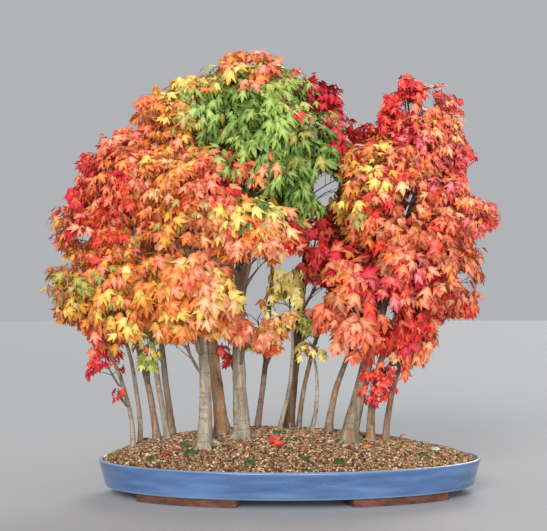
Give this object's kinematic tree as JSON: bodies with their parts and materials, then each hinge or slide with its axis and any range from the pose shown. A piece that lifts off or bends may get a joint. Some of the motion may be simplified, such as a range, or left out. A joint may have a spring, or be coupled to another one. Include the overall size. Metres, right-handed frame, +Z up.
{
  "type": "trident maple bonsai forest",
  "caption": "Forest bonsai of slim leaning trunks with autumn leaves, growing in a mound of grit in a shallow oval glazed tray on low feet.",
  "frame": {"origin": "middle of the whole object's footprint, on the surface that the tray's feet stand on", "axes": "+X along the tray, to the right as seen from the front; -Y towards the front; +Z up"},
  "size_m": [0.8879, 0.593, 0.8736],
  "materials": {
    "glaze": "smooth light steel-blue glaze",
    "clay": "unglazed brown clay",
    "grit": "loose tan grit",
    "bark": "grey-tan bark with fine flakes",
    "amber": "thin matt autumn leaf",
    "orange": "thin matt autumn leaf",
    "gold": "thin matt autumn leaf",
    "green": "thin matt autumn leaf",
    "lime": "thin matt autumn leaf",
    "crimson": "thin matt autumn leaf",
    "red": "thin matt autumn leaf",
    "coral": "thin matt autumn leaf"
  },
  "bodies": {
    "root": {"tray": "glaze", "foot_front_left": "clay", "foot_front_right": "clay", "foot_back_left": "clay", "foot_back_right": "clay", "soil": "grit", "trunk_01": "bark", "trunk_02": "bark", "trunk_03": "bark", "trunk_04": "bark", "trunk_05": "bark", "trunk_06": "bark", "trunk_07": "bark", "trunk_08": "bark", "trunk_09": "bark", "trunk_10": "bark", "trunk_11": "bark", "trunk_12": "bark", "trunk_13": "bark", "trunk_14": "bark", "trunk_15": "bark", "trunk_16": "bark", "trunk_17": "bark", "bough_low_back": "bark", "bough_left_back": "bark", "bough_green": "bark", "bough_far_right": "bark", "bough_right_back": "bark", "leaves_left_low_front": "amber", "leaves_left_low_back": "amber", "leaves_left_middle": "orange", "leaves_left_high_front": "orange", "leaves_left_high_back": "orange", "leaves_left_top": "gold", "leaves_front_left": "orange", "leaves_front_low": "gold", "leaves_back_left": "orange", "leaves_back_low": "amber", "leaves_top": "green", "leaves_green_front": "green", "leaves_green_right": "green", "leaves_front_middle": "gold", "leaves_back_middle": "green", "leaves_top_right": "crimson", "leaves_back_right": "coral", "leaves_right_top": "red", "leaves_right_front": "coral", "leaves_right_back": "red", "leaves_far_right": "coral", "leaves_right_middle": "coral", "leaves_far_right_low": "coral", "leaves_right_low_front": "coral", "leaves_right_low_back": "red", "leaves_right_low_tip": "red", "spray_left_red": "crimson", "spray_left_green": "lime", "spray_yellow": "gold", "spray_small_green": "lime", "spray_right_red": "crimson", "spray_middle": "amber"}
  },
  "joints": []
}
